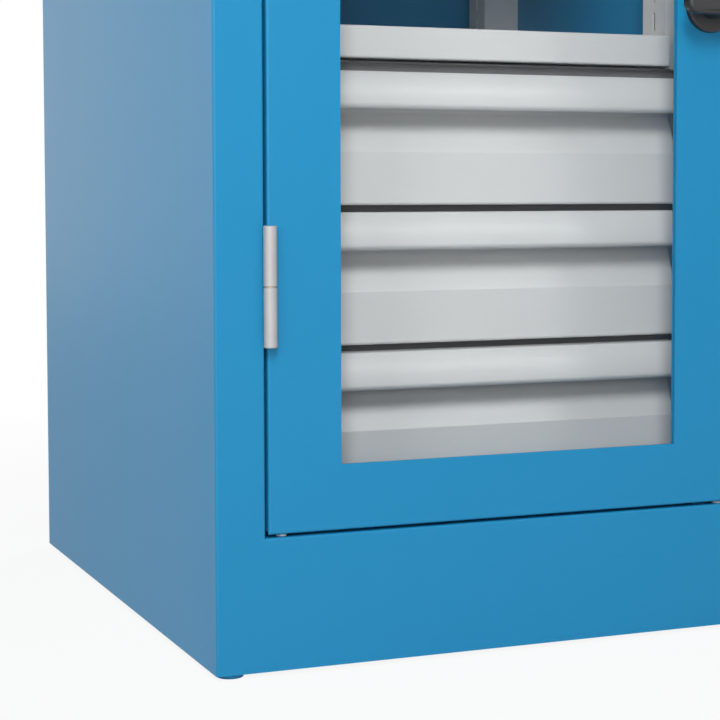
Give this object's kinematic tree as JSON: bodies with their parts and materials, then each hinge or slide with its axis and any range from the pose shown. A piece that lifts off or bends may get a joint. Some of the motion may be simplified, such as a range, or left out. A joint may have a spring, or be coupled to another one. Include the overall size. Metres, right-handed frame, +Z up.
{
  "type": "heavy-duty storage cabinet",
  "caption": "Upright folded-steel storage cabinet with a hinged window door, drawers with rolled handles, adjustable shelves, a turn-handle lock and levelling feet.",
  "frame": {"origin": "on the floor, under the middle of the whole cabinet", "axes": "+Z up, the door faces -Y, +X to the right seen from the front"},
  "size_m": [0.5, 0.636, 1.004],
  "materials": {
    "blue_paint": "satin powder coat",
    "grey_paint": "satin powder coat",
    "dark_grey_paint": "matt powder coat",
    "hinge_steel": "bright zinc",
    "zinc_steel": "zinc plated",
    "clear_pane": "clear",
    "black_rubber": "matt",
    "black_plastic": "fine texture",
    "white_nylon": "smooth",
    "washer_brass": "plain",
    "cylinder_chrome": "polished"
  },
  "bodies": {
    "carcass": {"left_side_panel": "blue_paint", "right_side_panel": "blue_paint", "back_panel": "blue_paint", "top_panel": "blue_paint", "plinth": "blue_paint", "floor_panel": "blue_paint", "foot_brackets": "blue_paint", "front_left_foot": "blue_paint", "front_right_foot": "blue_paint", "rear_left_foot": "blue_paint", "rear_right_foot": "blue_paint", "front_left_upright": "grey_paint", "front_right_upright": "grey_paint", "rear_left_upright": "grey_paint", "rear_right_upright": "grey_paint", "lower_shelf": "grey_paint", "upper_shelf": "grey_paint", "lower_shelf_hooks": "zinc_steel", "upper_shelf_hooks": "zinc_steel", "cross_rails": "dark_grey_paint", "door_glides": "white_nylon", "door_buffers": "black_rubber", "lower_frame_knuckle": "hinge_steel", "upper_frame_knuckle": "hinge_steel", "lower_hinge_pin": "hinge_steel", "upper_hinge_pin": "hinge_steel", "hinge_washers": "washer_brass", "drawer_1_fixed_runners": "zinc_steel", "drawer_2_fixed_runners": "zinc_steel", "drawer_3_fixed_runners": "zinc_steel"},
    "door": {"door_panel": "blue_paint", "window_pane": "clear_pane", "window_seal": "black_rubber", "pane_retainer": "blue_paint", "lower_door_knuckle": "hinge_steel", "upper_door_knuckle": "hinge_steel", "handle_rose": "black_plastic", "lock_case": "zinc_steel", "rod_guides": "zinc_steel"},
    "handle": {"turn_handle": "black_plastic", "handle_spindle": "zinc_steel"},
    "cylinder": {"lock_cylinder": "cylinder_chrome"},
    "upper_rod": {"upper_lock_rod": "zinc_steel"},
    "lower_rod": {"lower_lock_rod": "zinc_steel"},
    "drawer_1": {"drawer_1_front": "grey_paint", "drawer_1_box": "grey_paint", "drawer_1_inner_runners": "zinc_steel"},
    "drawer_1_middle": {"drawer_1_middle_runners": "zinc_steel"},
    "drawer_2": {"drawer_2_front": "grey_paint", "drawer_2_box": "grey_paint", "drawer_2_inner_runners": "zinc_steel"},
    "drawer_2_middle": {"drawer_2_middle_runners": "zinc_steel"},
    "drawer_3": {"drawer_3_front": "grey_paint", "drawer_3_box": "grey_paint", "drawer_3_inner_runners": "zinc_steel"},
    "drawer_3_middle": {"drawer_3_middle_runners": "zinc_steel"}
  },
  "joints": [
    {"name": "door_hinge", "type": "hinge", "parent": "carcass", "child": "door", "pos_m": [-0.2076, -0.2876, 0.52575], "axis": [0, 0, -1], "range_deg": [0, 180]},
    {"name": "handle_turn", "type": "hinge", "parent": "door", "child": "handle", "pos_m": [0.17825, -0.282, 0.52575], "axis": [0, 1, 0], "range_deg": [0, 90]},
    {"name": "key_turn", "type": "hinge", "parent": "handle", "child": "cylinder", "pos_m": [0.17825, -0.318, 0.52575], "axis": [0, 1, 0], "range_deg": [0, 90]},
    {"name": "upper_rod_slide", "type": "slide", "parent": "door", "child": "upper_rod", "axis": [0, 0, 1], "range_m": [0, 0.014]},
    {"name": "lower_rod_slide", "type": "slide", "parent": "door", "child": "lower_rod", "axis": [0, 0, -1], "range_m": [0, 0.014]},
    {"name": "drawer_1_slide", "type": "slide", "parent": "carcass", "child": "drawer_1", "axis": [0, -1, 0], "range_m": [0, 0.055]},
    {"name": "drawer_1_middle_slide", "type": "slide", "parent": "carcass", "child": "drawer_1_middle", "axis": [0, -1, 0], "range_m": [0, 0.0275]},
    {"name": "drawer_2_slide", "type": "slide", "parent": "carcass", "child": "drawer_2", "axis": [0, -1, 0], "range_m": [0, 0.055]},
    {"name": "drawer_2_middle_slide", "type": "slide", "parent": "carcass", "child": "drawer_2_middle", "axis": [0, -1, 0], "range_m": [0, 0.0275]},
    {"name": "drawer_3_slide", "type": "slide", "parent": "carcass", "child": "drawer_3", "axis": [0, -1, 0], "range_m": [0, 0.055]},
    {"name": "drawer_3_middle_slide", "type": "slide", "parent": "carcass", "child": "drawer_3_middle", "axis": [0, -1, 0], "range_m": [0, 0.0275]}
  ],
  "couplings": [
    {"joint": "upper_rod_slide", "follows": "handle_turn", "m_per_rad": 0.0089},
    {"joint": "lower_rod_slide", "follows": "handle_turn", "m_per_rad": 0.0089},
    {"joint": "drawer_1_middle_slide", "follows": "drawer_1_slide", "ratio": 0.5},
    {"joint": "drawer_2_middle_slide", "follows": "drawer_2_slide", "ratio": 0.5},
    {"joint": "drawer_3_middle_slide", "follows": "drawer_3_slide", "ratio": 0.5}
  ]
}
